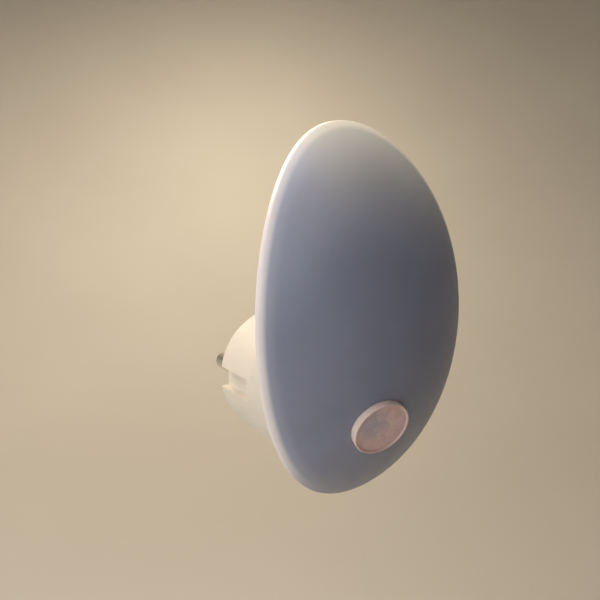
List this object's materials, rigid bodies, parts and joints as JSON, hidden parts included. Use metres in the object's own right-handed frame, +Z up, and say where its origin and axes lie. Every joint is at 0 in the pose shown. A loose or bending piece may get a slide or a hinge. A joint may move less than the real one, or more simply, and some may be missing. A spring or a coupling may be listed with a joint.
{
  "type": "plug-in night light",
  "caption": "Plug-in wall night light: oval domed shield with a motion-sensor lens, lit from a window behind it, on a round two-pin plug body with a mode slide switch.",
  "frame": {"origin": "centre of the plug's pin face, which seats on the floor of the socket's recess", "axes": "+Z up, +Y towards the wall along the contact pins, +X to the right seen from the front"},
  "size_m": [0.054, 0.0748, 0.09],
  "materials": {
    "shield_grey": "smooth satin moulding, slate grey with a pale rim",
    "housing_white": "fine satin moulded texture",
    "knob_grey": "satin moulded",
    "lens_milky": "milky translucent polyethylene",
    "opal_window": "opal diffuser, lit from inside",
    "pin_metal": "nickel-plated brass",
    "screw_steel": "zinc-plated steel",
    "board_green": "solder-masked glass-fibre board",
    "can_metal": "nickel-plated can",
    "filter_dark": "dark infrared filter",
    "part_black": "moulded epoxy",
    "film_yellow": "moulded box",
    "sleeve_dark": "shrink sleeve over an aluminium can",
    "varistor_blue": "dipped epoxy",
    "fuse_green": "coated ceramic",
    "wire_red": "PVC insulation",
    "led_yellow": "phosphor-filled LED package"
  },
  "bodies": {
    "lamp": {"front_shield": "shield_grey", "rear_housing": "housing_white", "plug_base": "housing_white", "contact_pin_left": "pin_metal", "contact_pin_right": "pin_metal", "sensor_lens": "lens_milky", "sensor_shroud": "part_black", "sensor_can": "can_metal", "sensor_window": "filter_dark", "sensor_leads": "pin_metal", "light_sensor": "part_black", "light_window": "opal_window", "led_board": "board_green", "led_wires": "wire_red", "control_board": "board_green", "control_chip": "part_black", "chip_legs": "pin_metal", "switch_body": "can_metal", "switch_pins": "pin_metal", "power_board": "board_green", "film_capacitor": "film_yellow", "electrolytic_capacitor": "sleeve_dark", "surge_varistor": "varistor_blue", "fuse_resistor": "fuse_green", "bridge_rectifier": "part_black", "supply_wires": "wire_red", "housing_screws": "screw_steel", "plug_screws": "screw_steel", "led_board_screws": "screw_steel", "control_board_screws": "screw_steel", "power_board_screws": "screw_steel", "led_1": "led_yellow", "led_2": "led_yellow", "led_3": "led_yellow", "led_4": "led_yellow"},
    "mode_slider": {"switch_stem": "part_black", "mode_knob": "knob_grey"}
  },
  "joints": [
    {"name": "mode_slide", "type": "slide", "parent": "lamp", "child": "mode_slider", "axis": [0, 0, 1], "range_m": [-0.002, 0.002]}
  ]
}
